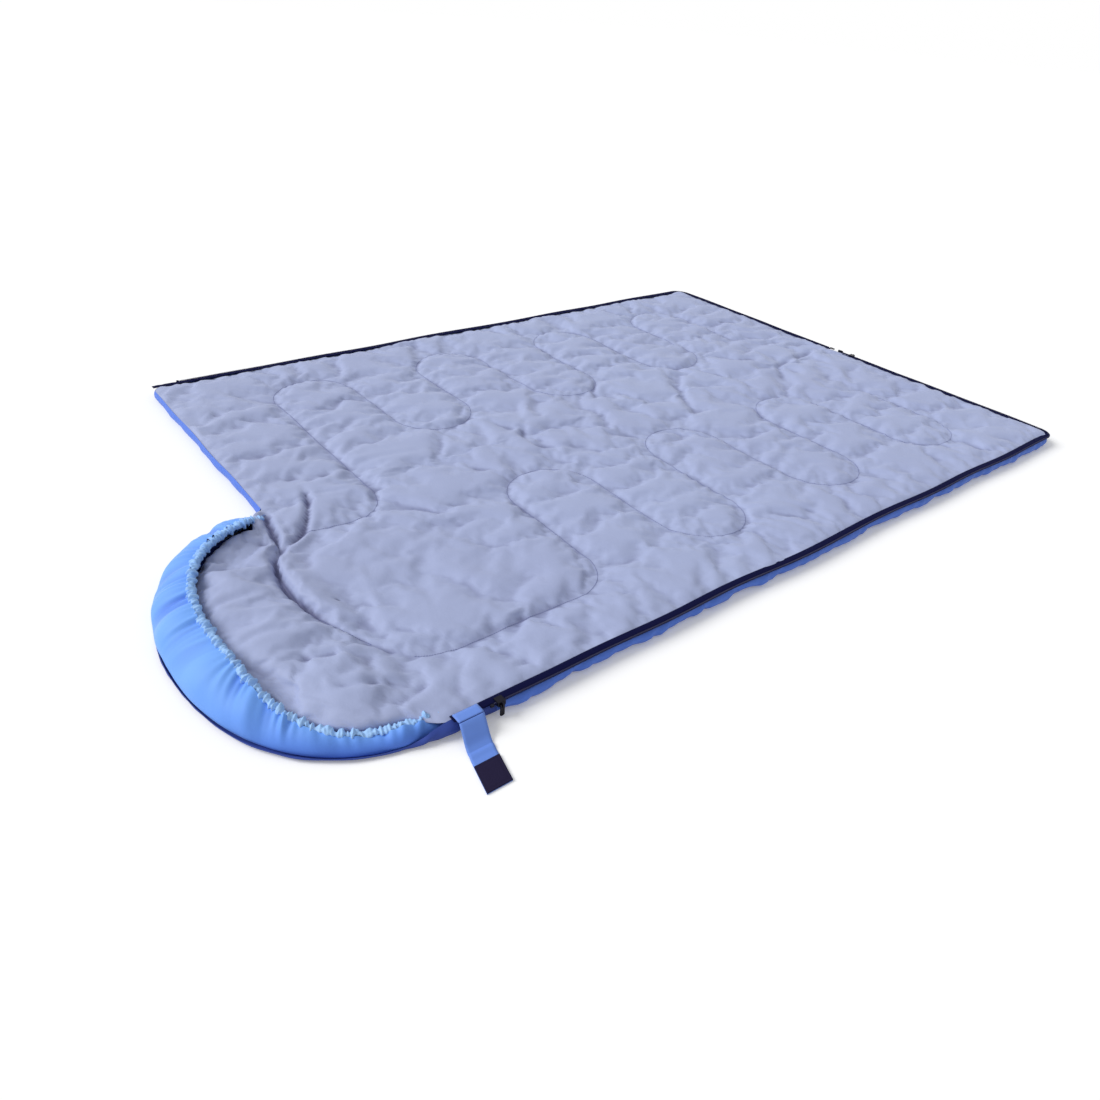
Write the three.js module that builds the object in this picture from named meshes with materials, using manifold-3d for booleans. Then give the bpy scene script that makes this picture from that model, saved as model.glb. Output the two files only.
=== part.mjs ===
// Envelope sleeping bag with a hood, unzipped all round and laid open like a quilt, lining up.
// +X is the front half's side, +Y runs to the head, +Z is up, and everything is in millimetres.
// The origin is on the floor, under the fold and half way along the body.

import * as THREE from 'three';
import { mergeVertices } from 'three/addons/utils/BufferGeometryUtils.js';
import Module from 'manifold-3d';

const manifoldLibrary = await Module();
manifoldLibrary.setup();

// ---- driving dimensions ----

const bodyLength = 1900;        // foot edge to neck
const halfWidth = 702;          // fold to the side wall, the same on both halves
const cornerRadius = 30;        // the two foot corners
const clothThickness = 1.5;     // shell and lining cloth with its seams
const loft = 31.5;              // floor to the top of the lining
const foldHeight = 35;          // height of the fold's turning line, above both linings
const foldGap = 1;              // each half's filling and lining stop this far from the fold
const underlap = 12;            // the back shell runs this far under the front half
const seatGap = 0.3;            // clearance between pieces sewn or seated on each other

const zipHeight = 27.5;         // middle of the zip tape
const tapeThickness = 1;
const tapeReach = 9;            // tape showing outside the wall
const coilWidth = 4;
const coilHeight = 3.6;
const zipFootStart = 24;        // fold to the first coil along the foot
const zipHeadEnd = 880;         // last coil, measured from the middle of the body
const stopLength = 6;

const hoodLength = 295;         // neck to the top of the hood
const hoodSquareness = 2.25;    // 2 is an ellipse, more is squarer
const padClearance = 2.2;       // hem to the edge of the pad, where the hem rises past it
const bandLean = 80;            // how far the standing band leans in over the pad
const bandHeight = 62;
const bandSweep = 78 * Math.PI / 180;
const bandNeckShare = 0.4;      // share of its height that the band has left at the neck
const bandRise = 90;            // distance from the neck over which it reaches full height
const hemRadius = 6;
const elasticRadius = 3.9;

const stitchPitch = 207;        // distance between the rows of the serpentine quilting
const stitchInner = 245;        // fold to the centre of the turns beside it
const stitchOuter = 467;        // fold to the centre of the turns beside the zip
const backFirstRow = 495;
const backRows = 6;
const frontFirstRow = 720;
const frontRows = 8;
const threadWidth = 1.6;
const threadHeight = 1;

const tabWidth = 44;
const tabCentre = 923;          // along the body, from its middle
const tabRootLength = 46;       // stands up the side of the closed bag
const tabEndLength = 75;        // lies on the floor, or over the closed front half
const tabAxisOut = 15.5;        // side wall out to the strap's first bend
const tabFloorGap = 0.2;
const hookLength = 50;
const hookThickness = 1.8;
const loopMargin = 2.5;         // the loop patch is this much larger all round
const loopThickness = 0.9;

const sliderLength = 14;
const sliderPlate = 2;
const sliderWallGap = 2;
const coilClearance = 0.4;
const headSliderAt = 868;
const footSliderAt = 60;        // fold to the parked slider
const archReach = 4.5;
const archHeight = 8;
const archBar = 1.5;
const archWidth = 2.4;
const pullWidth = 8;
const pullFloorGap = 4.5;       // a pull hangs this clear of the floor
const pullThickness = 1.6;
const windowWidth = 4;
const windowLength = 5;

// ---- places that follow from them ----

const foot = -bodyLength / 2;
const neck = bodyLength / 2;
const tapeBottom = zipHeight - tapeThickness / 2;
const tapeTop = zipHeight + tapeThickness / 2;
const shellWallTop = tapeBottom - seatGap;
const liningSkirt = tapeTop + seatGap;
const fillBottom = clothThickness + seatGap;
const fillTop = loft - clothThickness - seatGap;
const coilNear = tapeReach + seatGap;
const coilFar = coilNear + coilWidth;
const strapThickness = clothThickness;
const pullLength = zipHeight - pullFloorGap;

// The hood's pad stops where the hem, on its way up from the neck, has cleared the pad's top.
const risenShare = (loft + hemRadius) / (bandHeight * Math.sin(bandSweep));
const risenLean = bandLean * risenShare ** 1.5 * (1 - Math.cos(bandSweep));
const hoodPadInset = risenLean + 2 * hemRadius + padClearance;

// ---- shapes and solids ----

function outlineToSolid(shape, bottom, top, curveSegments = 10) {
  const solid = new THREE.ExtrudeGeometry(shape, {
    depth: top - bottom,
    bevelEnabled: false,
    curveSegments,
  });
  solid.translate(0, 0, bottom);
  return solid;
}

function toManifold(geometry) {
  const bare = geometry.clone();
  bare.deleteAttribute('normal');
  bare.deleteAttribute('uv');
  const merged = mergeVertices(bare, 1e-4);
  return new manifoldLibrary.Manifold(new manifoldLibrary.Mesh({
    numProp: 3,
    vertProperties: merged.attributes.position.array,
    triVerts: Uint32Array.from(merged.index.array),
  }));
}

function toGeometry(solid) {
  const mesh = solid.getMesh();
  const geometry = new THREE.BufferGeometry();
  geometry.setAttribute('position', new THREE.BufferAttribute(mesh.vertProperties, 3));
  geometry.setIndex(new THREE.BufferAttribute(mesh.triVerts, 1));
  geometry.computeVertexNormals();
  return geometry;
}

function cut(body, ...tools) {
  let result = toManifold(body);
  for (const tool of tools) result = result.subtract(toManifold(tool));
  return toGeometry(result);
}

function join(...bodies) {
  let result = toManifold(bodies[0]);
  for (const body of bodies.slice(1)) result = result.add(toManifold(body));
  return toGeometry(result);
}

function block(x0, x1, y0, y1, z0, z1) {
  const box = new THREE.BoxGeometry(x1 - x0, y1 - y0, z1 - z0);
  box.translate((x0 + x1) / 2, (y0 + y1) / 2, (z0 + z1) / 2);
  return box;
}

function cloth(colour) {
  return new THREE.MeshStandardMaterial({ color: colour, roughness: 0.8, metalness: 0 });
}

function metal(colour) {
  return new THREE.MeshStandardMaterial({ color: colour, roughness: 0.4, metalness: 0.8 });
}

const bag = new THREE.Group();

function place(name, geometry, material, parent = bag) {
  const mesh = new THREE.Mesh(geometry, material);
  mesh.name = name;
  parent.add(mesh);
  return mesh;
}

// ---- the two halves: shell, filling and lining ----

// One half seen from above, with a rounded corner at the foot. side is 1 for the front half.
function panelShape(side, inner, inset, headEnd) {
  const outer = halfWidth - inset;
  const radius = cornerRadius - inset;
  const shape = new THREE.Shape();
  shape.moveTo(side * inner, foot + inset);
  shape.lineTo(side * (outer - radius), foot + inset);
  shape.absarc(side * (outer - radius), foot + inset + radius, radius,
    -Math.PI / 2, side > 0 ? 0 : -Math.PI, side < 0);
  shape.lineTo(side * outer, headEnd);
  shape.lineTo(side * inner, headEnd);
  return shape;
}

// The shell is a shallow tray: its walls stand along the side and the foot, and on the front
// half along the head too. The fold side stays open, and so does the back half at the hood.
function shellTray(side, inner, headInside) {
  const hollow = panelShape(side, -2 * underlap, clothThickness, headInside);
  return cut(
    outlineToSolid(panelShape(side, inner, 0, neck), 0, shellWallTop),
    outlineToSolid(hollow, clothThickness, loft),
  );
}

// The lining is the same tray turned over, with a short skirt down to the zip tape.
function liningCap(side, headInside) {
  const hollow = panelShape(side, -2 * underlap, clothThickness, headInside);
  return cut(
    outlineToSolid(panelShape(side, foldGap, 0, neck), liningSkirt, loft),
    outlineToSolid(hollow, 0, loft - clothThickness),
  );
}

function filling(side, headEnd) {
  const shape = panelShape(side, foldGap, clothThickness + seatGap, headEnd);
  return outlineToSolid(shape, fillBottom, fillTop);
}

const backOpenEnd = neck + clothThickness;
const frontClosedEnd = neck - clothThickness;

// The patch of loop tape lies flush in the underside of the front half's shell, where the
// hook tape meets it once the bag is closed.
const hookOut = tabEndLength - hookLength;
const loopOuter = halfWidth + tabAxisOut - hookOut + loopMargin;
const loopInner = loopOuter - hookLength - 2 * loopMargin;
const loopHalf = tabWidth / 2 + loopMargin;
const loopTop = tabFloorGap + loopThickness;
const loopPocket = block(loopInner - seatGap, loopOuter + seatGap,
  tabCentre - loopHalf - seatGap, tabCentre + loopHalf + seatGap, -1, loopTop + seatGap);

place('back_shell', shellTray(-1, -underlap, backOpenEnd), cloth('#3f6fe0'));
place('back_fill', filling(-1, neck), cloth('#f2f2f0'));
place('back_lining', liningCap(-1, backOpenEnd), cloth('#a3aac8'));
place('front_shell', cut(shellTray(1, underlap + seatGap, frontClosedEnd), loopPocket),
  cloth('#3f6fe0'));
place('front_fill', filling(1, frontClosedEnd - seatGap), cloth('#f2f2f0'));
place('front_lining', liningCap(1, frontClosedEnd), cloth('#a3aac8'));
place('loop_patch', block(loopInner, loopOuter, tabCentre - loopHalf, tabCentre + loopHalf,
  tabFloorGap, loopTop), cloth('#1c1a24'));

// ---- quilting thread on the linings ----

// A flat ribbon of thread along a path in plan, laid on the lining.
function threadRibbon(path) {
  const route = path.getPoints(14).filter((point, index, all) =>
    index === 0 || point.distanceTo(all[index - 1]) > 0.01);
  const edge = (sign) => route.map((point, index) => {
    const before = route[Math.max(index - 1, 0)];
    const after = route[Math.min(index + 1, route.length - 1)];
    const along = after.clone().sub(before).normalize();
    return new THREE.Vector2(point.x - sign * along.y * threadWidth / 2,
      point.y + sign * along.x * threadWidth / 2);
  });
  const ribbon = new THREE.Shape([...edge(1), ...edge(-1).reverse()]);
  return outlineToSolid(ribbon, loft + seatGap, loft + seatGap + threadHeight);
}

// Rows across one half, each joined to the next by a half circle. The row that the path
// stands on when it comes in is the first; outwards says which way it runs.
function addRows(path, side, firstRow, rows, outwards) {
  const radius = stitchPitch / 2;
  let away = outwards;
  for (let row = 0; row < rows; row += 1) {
    const y = firstRow - row * stitchPitch;
    const turnAt = side * (away ? stitchOuter : stitchInner);
    path.lineTo(turnAt, y);
    const clockwise = (side > 0) === away;
    if (row < rows - 1) {
      path.absarc(turnAt, y - radius, radius, Math.PI / 2, -Math.PI / 2, clockwise);
    }
    away = !away;
  }
}

// The back half's line comes out of the hood, runs down beside the zip as the edge of the
// pillow panel, and turns into the rows.
const pillowSide = 565;
const pillowCross = 505;
const pillowCorner = 95;
const backPath = new THREE.Path();
backPath.moveTo(-pillowCross, neck - 1);
backPath.splineThru([new THREE.Vector2(-548, neck - 32), new THREE.Vector2(-pillowSide, neck - 80)]);
backPath.lineTo(-pillowSide, backFirstRow + pillowCorner);
backPath.absarc(-pillowSide + pillowCorner, backFirstRow + pillowCorner, pillowCorner,
  Math.PI, Math.PI * 1.5, false);
addRows(backPath, -1, backFirstRow, backRows, false);
place('back_quilt_thread', threadRibbon(backPath), cloth('#8e95b4'));

const frontPath = new THREE.Path();
frontPath.moveTo(2 * foldGap, frontFirstRow);
addRows(frontPath, 1, frontFirstRow, frontRows, true);
place('front_quilt_thread', threadRibbon(frontPath), cloth('#8e95b4'));

// ---- the zip: tape, coil, stops, retainer box and insertion pin ----

// A strip that follows the wall from the foot, round the corner and up the side.
function zipStrip(side, near, far, footStart, headEnd) {
  const centreX = side * (halfWidth - cornerRadius);
  const centreY = foot + cornerRadius;
  const sideways = side > 0 ? 0 : -Math.PI;
  const strip = new THREE.Shape();
  strip.moveTo(side * footStart, foot - far);
  strip.lineTo(centreX, foot - far);
  strip.absarc(centreX, centreY, cornerRadius + far, -Math.PI / 2, sideways, side < 0);
  strip.lineTo(side * (halfWidth + far), headEnd);
  strip.lineTo(side * (halfWidth + near), headEnd);
  strip.absarc(centreX, centreY, cornerRadius + near, sideways, -Math.PI / 2, side > 0);
  strip.lineTo(side * footStart, foot - near);
  return strip;
}

const tapeEnd = neck - 2;
for (const [half, side] of [['back', -1], ['front', 1]]) {
  const tape = zipStrip(side, -clothThickness, tapeReach, 2 * foldGap, tapeEnd);
  const coil = zipStrip(side, coilNear, coilFar, zipFootStart, zipHeadEnd);
  place(`${half}_zip_tape`, outlineToSolid(tape, tapeBottom, tapeTop), cloth('#14163c'));
  place(`${half}_zip_coil`, outlineToSolid(coil, zipHeight - coilHeight / 2,
    zipHeight + coilHeight / 2), cloth('#12143a'));
  const stopNear = side * (halfWidth + coilNear);
  const stopFar = side * (halfWidth + coilFar);
  place(`${half}_top_stop`, block(Math.min(stopNear, stopFar), Math.max(stopNear, stopFar),
    zipHeadEnd + seatGap, zipHeadEnd + stopLength, zipHeight - coilHeight / 2,
    zipHeight + coilHeight / 2), metal('#2a2c44'));
}

const retainerEnd = zipFootStart - seatGap;
const retainerStart = 8;
place('retainer_box', block(-retainerEnd, -retainerStart, foot - coilFar - 1, foot - coilNear,
  zipHeight - coilHeight, zipHeight + coilHeight), metal('#2a2c44'));
place('insertion_pin', block(retainerStart, retainerEnd, foot - coilFar, foot - coilNear,
  zipHeight - coilHeight / 2, zipHeight + coilHeight / 2), metal('#2a2c44'));

// ---- sliders and their pulls ----

// Drawn for a zip whose wall faces -X, with the wall at the origin and the zip at height 0.
const webNear = coilFar + coilClearance;
const webFar = webNear + sliderPlate;
const channelHalf = coilHeight / 2 + coilClearance;
const sliderHalf = channelHalf + sliderPlate;
const pullAxisOut = webFar + (archReach - archBar) / 2;

function sliderBody() {
  const half = sliderLength / 2;
  const body = block(-webFar, -sliderWallGap, -half, half, -sliderHalf, sliderHalf);
  const channel = block(-webNear, 0, -sliderLength, sliderLength, -channelHalf, channelHalf);
  const arch = block(-webFar - archReach, -webFar + 0.5, -archWidth / 2, archWidth / 2,
    -archHeight / 2, archHeight / 2);
  const eye = block(-webFar - archReach + archBar, -webFar, -archWidth, archWidth,
    -archHeight / 2 + archBar, archHeight / 2 - archBar);
  return join(cut(body, channel), cut(arch, eye));
}

// The pull hangs from the arch: its top bar lies in the eye, the arch goes through its window.
function pullTab() {
  const bar = pullThickness / 2;
  const half = pullWidth / 2;
  const tip = 2.5;
  const plate = new THREE.Shape();
  plate.moveTo(-half, bar);
  plate.lineTo(-half, tip - pullLength);
  plate.quadraticCurveTo(-half, -pullLength, tip - half, -pullLength);
  plate.lineTo(half - tip, -pullLength);
  plate.quadraticCurveTo(half, -pullLength, half, tip - pullLength);
  plate.lineTo(half, bar);
  const window = new THREE.Path();
  window.moveTo(-windowWidth / 2, -bar);
  window.lineTo(windowWidth / 2, -bar);
  window.lineTo(windowWidth / 2, -bar - windowLength);
  window.lineTo(-windowWidth / 2, -bar - windowLength);
  window.closePath();
  plate.holes.push(window);
  const pull = outlineToSolid(plate, -bar, bar, 4);
  const upright = new THREE.Matrix4().makeBasis(
    new THREE.Vector3(0, 1, 0), new THREE.Vector3(0, 0, 1), new THREE.Vector3(1, 0, 0));
  pull.applyMatrix4(upright);
  pull.translate(-pullAxisOut, 0, 0);
  return pull;
}

function addSlider(name, x, y, turn) {
  const seat = new THREE.Group();
  seat.position.set(x, y, zipHeight);
  seat.rotation.z = turn;
  place(`${name}_slider_body`, sliderBody(), metal('#23253c'), seat);
  place(`${name}_pull_tab`, pullTab(), metal('#1b1d30'), seat);
  bag.add(seat);
}

addSlider('head', -halfWidth, headSliderAt, 0);
addSlider('foot', -footSliderAt, foot, Math.PI / 2);

// ---- closing tab at the head corner ----

const tabAxisX = -halfWidth - tabAxisOut;
const tabAxisZ = liningSkirt + strapThickness / 2;
const tabLow = tabCentre - tabWidth / 2;
const tabHigh = tabCentre + tabWidth / 2;
const endAxisZ = tabFloorGap + strapThickness / 2;
const tabDrop = Math.asin((tabAxisZ - endAxisZ) / tabRootLength);
const bendGap = 1.1;            // the strap pieces stop this short of a bend
const bendTail = 1.9;           // and the root reaches this far behind its own
const anchorGap = 2.3;

place('tab_anchor', block(tabAxisX + anchorGap, -halfWidth - seatGap, tabLow, tabHigh,
  liningSkirt, liningSkirt + strapThickness), cloth('#5a86f0'));

const tabRoot = new THREE.Group();
tabRoot.position.set(tabAxisX, 0, tabAxisZ);
tabRoot.rotation.y = -tabDrop;
place('tab_strap_root', block(bendGap - tabRootLength, bendTail, tabLow, tabHigh,
  -strapThickness / 2, strapThickness / 2), cloth('#5a86f0'), tabRoot);
bag.add(tabRoot);

const tabEnd = new THREE.Group();
tabEnd.position.set(tabAxisX - tabRootLength * Math.cos(tabDrop), 0, endAxisZ);
place('tab_strap_end', block(-tabEndLength, -seatGap, tabLow, tabHigh,
  -strapThickness / 2, strapThickness / 2), cloth('#5a86f0'), tabEnd);
const hookBottom = strapThickness / 2 + seatGap;
place('hook_patch', block(-tabEndLength, hookLength - tabEndLength, tabLow, tabHigh,
  hookBottom, hookBottom + hookThickness), cloth('#2b2538'), tabEnd);
bag.add(tabEnd);

// ---- the hood: a padded half disc with a standing band round it ----

const hoodCentre = -halfWidth / 2;
const hoodHalf = halfWidth / 2 - 2;
const hoodNeck = neck + seatGap;

// A point of the hood's outline in plan, moved in by inset. turn runs from 0 at the zip side
// to PI at the fold.
function hoodPoint(turn, inset) {
  const power = 2 / hoodSquareness;
  const x = -hoodHalf * Math.sign(Math.cos(turn)) * Math.abs(Math.cos(turn)) ** power;
  const y = hoodLength * Math.abs(Math.sin(turn)) ** power;
  const normal = new THREE.Vector2(
    Math.sign(x) * Math.abs(x / hoodHalf) ** (hoodSquareness - 1) / hoodHalf,
    (y / hoodLength) ** (hoodSquareness - 1) / hoodLength,
  ).normalize();
  return new THREE.Vector2(hoodCentre + x - normal.x * inset, hoodNeck + y - normal.y * inset);
}

function hoodShape(inset, steps = 48) {
  const points = [];
  for (let step = 0; step <= steps; step += 1) {
    points.push(hoodPoint(Math.PI * step / steps, inset));
  }
  return new THREE.Shape(points);
}

const bandCloth = 3;            // doubled shell cloth
const facingStart = bandCloth + seatGap;
const facingEnd = facingStart + 2.5;
const hoodLiningOut = hoodPadInset;
const hoodFillOut = hoodPadInset + clothThickness + seatGap;

place('hood_shell', outlineToSolid(hoodShape(facingEnd + seatGap), 0, clothThickness),
  cloth('#2d55c4'));
place('hood_fill', outlineToSolid(hoodShape(hoodFillOut), fillBottom, fillTop),
  cloth('#f2f2f0'));
const liningHollow = outlineToSolid(hoodShape(hoodLiningOut + clothThickness), 0,
  loft - clothThickness);
const neckOpening = block(-2 * halfWidth, halfWidth, 0, hoodNeck + clothThickness, 0,
  loft - clothThickness);
place('hood_lining', cut(outlineToSolid(hoodShape(hoodLiningOut), fillBottom, loft),
  liningHollow, neckOpening), cloth('#a3a7c2'));

// How much of its full height the band has at a point of the outline.
function bandShare(turn) {
  const away = hoodPoint(turn, 0).y - hoodNeck;
  const rise = THREE.MathUtils.smoothstep(away, 0, bandRise);
  return THREE.MathUtils.lerp(bandNeckShare, 1, rise);
}

// The band's section is part of an ellipse: upright at the floor, leaning in at the top.
// sweep is the angle round that ellipse and depth is measured in from its outer face.
function bandSection(turn, sweep, depth) {
  const share = bandShare(turn);
  const lean = bandLean * share ** 1.5;
  return {
    inset: lean - (lean - depth) * Math.cos(sweep),
    height: (bandHeight * share - depth) * Math.sin(sweep),
  };
}

// Bends a straight extrusion round the hood: its depth becomes the way round, and section
// turns the rest into an inset and a height.
function bendRoundHood(shape, steps, section) {
  const solid = new THREE.ExtrudeGeometry(shape, { depth: 1, steps, bevelEnabled: false });
  const corners = solid.attributes.position;
  for (let index = 0; index < corners.count; index += 1) {
    const turn = Math.PI * corners.getZ(index);
    const { inset, height } = section(turn, corners.getX(index), corners.getY(index));
    const place2d = hoodPoint(turn, inset);
    corners.setXYZ(index, place2d.x, place2d.y, height);
  }
  return solid;
}

function bandLayer(nearDepth, farDepth) {
  const rings = 9;
  const points = [];
  for (let ring = 0; ring <= rings; ring += 1) {
    points.push(new THREE.Vector2(bandSweep * ring / rings, nearDepth));
  }
  for (let ring = rings; ring >= 0; ring -= 1) {
    points.push(new THREE.Vector2(bandSweep * ring / rings, farDepth));
  }
  return bendRoundHood(new THREE.Shape(points), 56, bandSection);
}


place('hood_band', bandLayer(0, bandCloth), cloth('#5aa0f5'));
place('hood_facing', bandLayer(facingStart, facingEnd), cloth('#9aa0bc'));

// The hem runs along the band's free edge and holds the elastic that gathers it.
function hemCentre(turn) {
  const edge = bandSection(turn, bandSweep, bandCloth);
  return { inset: edge.inset + hemRadius + seatGap, height: edge.height };
}

function hemTube(outerRadius, innerRadius) {
  const ring = new THREE.Shape();
  ring.absarc(0, 0, outerRadius, 0, 2 * Math.PI, false);
  if (innerRadius > 0) {
    const bore = new THREE.Path();
    bore.absarc(0, 0, innerRadius, 0, 2 * Math.PI, true);
    ring.holes.push(bore);
  }
  const solid = new THREE.Shape(ring.getPoints(5).slice(0, -1));
  for (const hole of ring.holes) solid.holes.push(new THREE.Path(hole.getPoints(5).slice(0, -1)));
  return bendRoundHood(solid, 56, (turn, across, up) => {
    const centre = hemCentre(turn);
    return { inset: centre.inset - across, height: centre.height + up };
  });
}

place('hood_hem', hemTube(hemRadius, hemRadius - clothThickness), cloth('#4a8cf0'));
place('hood_elastic', hemTube(elasticRadius, 0), cloth('#e8e8e8'));

// The pillow panel's stitching crosses the neck into the hood as a low arc.
const hoodPath = new THREE.Path();
hoodPath.moveTo(-pillowCross, hoodNeck + 1);
hoodPath.splineThru([
  new THREE.Vector2(-400, neck + 50),
  new THREE.Vector2(-300, neck + 67),
  new THREE.Vector2(-200, neck + 55),
  new THREE.Vector2(-120, neck + 20),
  new THREE.Vector2(-60, neck + 6),
]);
place('hood_quilt_thread', threadRibbon(hoodPath), cloth('#8e95b4'));

export default bag;
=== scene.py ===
import math

import bmesh
import bpy
import numpy as np
from mathutils import Matrix, Vector, kdtree
from mathutils.bvhtree import BVHTree


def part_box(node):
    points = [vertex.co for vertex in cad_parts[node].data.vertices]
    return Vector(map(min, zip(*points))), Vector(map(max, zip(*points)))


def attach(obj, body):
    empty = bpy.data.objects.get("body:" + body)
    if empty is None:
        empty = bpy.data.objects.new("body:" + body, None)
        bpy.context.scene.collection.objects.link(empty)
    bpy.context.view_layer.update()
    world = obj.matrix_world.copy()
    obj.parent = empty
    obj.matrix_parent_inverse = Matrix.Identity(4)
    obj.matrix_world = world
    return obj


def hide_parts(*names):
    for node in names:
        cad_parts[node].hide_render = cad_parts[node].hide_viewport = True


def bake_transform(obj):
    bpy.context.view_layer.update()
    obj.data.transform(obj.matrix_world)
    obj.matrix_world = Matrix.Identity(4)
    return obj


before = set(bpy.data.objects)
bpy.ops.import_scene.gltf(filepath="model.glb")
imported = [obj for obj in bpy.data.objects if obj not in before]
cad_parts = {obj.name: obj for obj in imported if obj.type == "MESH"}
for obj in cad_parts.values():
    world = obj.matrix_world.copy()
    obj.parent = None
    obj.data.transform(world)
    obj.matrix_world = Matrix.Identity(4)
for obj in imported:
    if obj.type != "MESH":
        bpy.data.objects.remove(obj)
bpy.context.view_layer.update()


# ---- Camera, light and floor ----
# The bag lies on a plain white floor under a large soft light from the far left, and is seen
# from beyond its head end, over the hood.

eye = Vector((-1.455, 1.427, 0.922))
look = Vector((0.6345, -0.5416, -0.5514))
up = Vector((0.4699, -0.2961, 0.8316))
camera_data = bpy.data.cameras.new("camera")
camera_data.sensor_width = 36
camera_data.lens = 27.41
camera_data.clip_start = 0.02
camera = bpy.data.objects.new("camera", camera_data)
right = look.cross(up).normalized()
up = right.cross(look).normalized()
camera.matrix_world = Matrix.Translation(eye) @ Matrix((right, up, -look.normalized())).transposed().to_4x4()
bpy.context.scene.collection.objects.link(camera)
bpy.context.scene.camera = camera
bpy.context.scene.view_settings.view_transform = "Standard"

sun = bpy.data.lights.new("key_light", "SUN")
sun.energy = 2.3
sun.angle = math.radians(35)
sun_object = bpy.data.objects.new("key_light", sun)
sun_object.rotation_mode = "QUATERNION"
sun_object.rotation_quaternion = Vector((0.42, 0.62, 0.62)).to_track_quat("Z", "Y")
bpy.context.scene.collection.objects.link(sun_object)

world = bpy.data.worlds.new("studio")
world.use_nodes = True
bpy.context.scene.world = world
world_nodes = world.node_tree.nodes
world_links = world.node_tree.links
ambient = world_nodes["Background"]
seen_rays = world_nodes.new("ShaderNodeLightPath")
seen_any = world_nodes.new("ShaderNodeMath")
seen_any.operation = "MAXIMUM"
seen_all = world_nodes.new("ShaderNodeMath")
seen_all.operation = "MAXIMUM"
backdrop = world_nodes.new("ShaderNodeBackground")
ambient.inputs["Color"].default_value = (0.97, 0.98, 1.0, 1)
ambient.inputs["Strength"].default_value = 0.48
backdrop.inputs["Color"].default_value = (1, 1, 1, 1)
backdrop.inputs["Strength"].default_value = 1.0
pick = world_nodes.new("ShaderNodeMixShader")
world_links.new(seen_rays.outputs["Is Camera Ray"], seen_any.inputs[0])
world_links.new(seen_rays.outputs["Is Glossy Ray"], seen_any.inputs[1])
world_links.new(seen_any.outputs[0], seen_all.inputs[0])
world_links.new(seen_rays.outputs["Is Transmission Ray"], seen_all.inputs[1])
world_links.new(seen_all.outputs[0], pick.inputs["Fac"])
world_links.new(ambient.outputs[0], pick.inputs[1])
world_links.new(backdrop.outputs[0], pick.inputs[2])
world_links.new(pick.outputs[0], world_nodes["World Output"].inputs["Surface"])

floor_mesh = bmesh.new()
bmesh.ops.create_grid(floor_mesh, x_segments=1, y_segments=1, size=30)
floor_data = bpy.data.meshes.new("studio_floor")
floor_mesh.to_mesh(floor_data)
floor_mesh.free()
floor = bpy.data.objects.new("studio_floor", floor_data)
bpy.context.scene.collection.objects.link(floor)
floor_finish = bpy.data.materials.new("floor_white")
floor_finish.use_nodes = True
floor_nodes = floor_finish.node_tree.nodes
floor_links = floor_finish.node_tree.links
floor_nodes["Principled BSDF"].inputs["Base Color"].default_value = (0.93, 0.93, 0.93, 1)
floor_nodes["Principled BSDF"].inputs["Roughness"].default_value = 1
floor_nodes["Principled BSDF"].inputs["Specular IOR Level"].default_value = 0
glow = floor_nodes.new("ShaderNodeEmission")
glow.inputs["Strength"].default_value = 0.16
floor_rays = floor_nodes.new("ShaderNodeLightPath")
floor_add = floor_nodes.new("ShaderNodeAddShader")
floor_pick = floor_nodes.new("ShaderNodeMixShader")
floor_links.new(floor_nodes["Principled BSDF"].outputs[0], floor_add.inputs[0])
floor_links.new(glow.outputs[0], floor_add.inputs[1])
floor_links.new(floor_rays.outputs["Is Camera Ray"], floor_pick.inputs["Fac"])
floor_links.new(floor_nodes["Principled BSDF"].outputs[0], floor_pick.inputs[1])
floor_links.new(floor_add.outputs[0], floor_pick.inputs[2])
floor_links.new(floor_pick.outputs[0], floor_nodes["Material Output"].inputs["Surface"])
floor_data.materials.append(floor_finish)


# ---- Quilting lines ----
# One line of stitching wanders over each half in rows joined by half circles, and runs through
# lining, filling and shell alike. On the back half it first goes round the pillow panel.

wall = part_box("front_shell")[1].x          # fold to the side wall
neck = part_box("front_shell")[1].y          # middle of the body to either end
row_pitch = 0.207
inner_turn = 0.245
outer_turn = 0.467


def go_to(route, x, y, step=0.004):
    here = np.array(route[-1])
    there = np.array((x, y))
    count = max(1, round(float(np.linalg.norm(there - here)) / step))
    route.extend(tuple(here + (there - here) * k / count) for k in range(1, count + 1))


def go_round(route, centre, radius, start, end, step=0.004):
    count = max(2, round(abs(end - start) * radius / step))
    for k in range(1, count + 1):
        angle = start + (end - start) * k / count
        route.append((centre[0] + radius * math.cos(angle), centre[1] + radius * math.sin(angle)))


def between(a, b, c, d, t):
    """The Catmull-Rom curve's spot at a share t of the way from b to c."""
    curve = (2 * a - 5 * b + 4 * c - d) * t**2 + (3 * b - a - 3 * c + d) * t**3
    return 0.5 * (2 * b + (c - a) * t + curve)


def go_through(route, *points, step=0.004):
    """A smooth stretch through the points, as a Catmull-Rom curve."""
    knots = [np.array(p) for p in (route[-1], *points)]
    knots = [2 * knots[0] - knots[1], *knots, 2 * knots[-1] - knots[-2]]
    for a, b, c, d in zip(knots, knots[1:], knots[2:], knots[3:]):
        count = max(2, round(float(np.linalg.norm(c - b)) / step))
        for k in range(1, count + 1):
            route.append(tuple(between(a, b, c, d, k / count)))


def go_rows(route, side, first_row, rows, outwards):
    radius = row_pitch / 2
    for row in range(rows):
        y = first_row - row * row_pitch
        x = side * (outer_turn if outwards else inner_turn)
        go_to(route, x, y)
        if row < rows - 1:
            swing = -math.pi if (side > 0) == outwards else math.pi
            go_round(route, (x, y - radius), radius, math.pi / 2, math.pi / 2 + swing)
        outwards = not outwards


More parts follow.
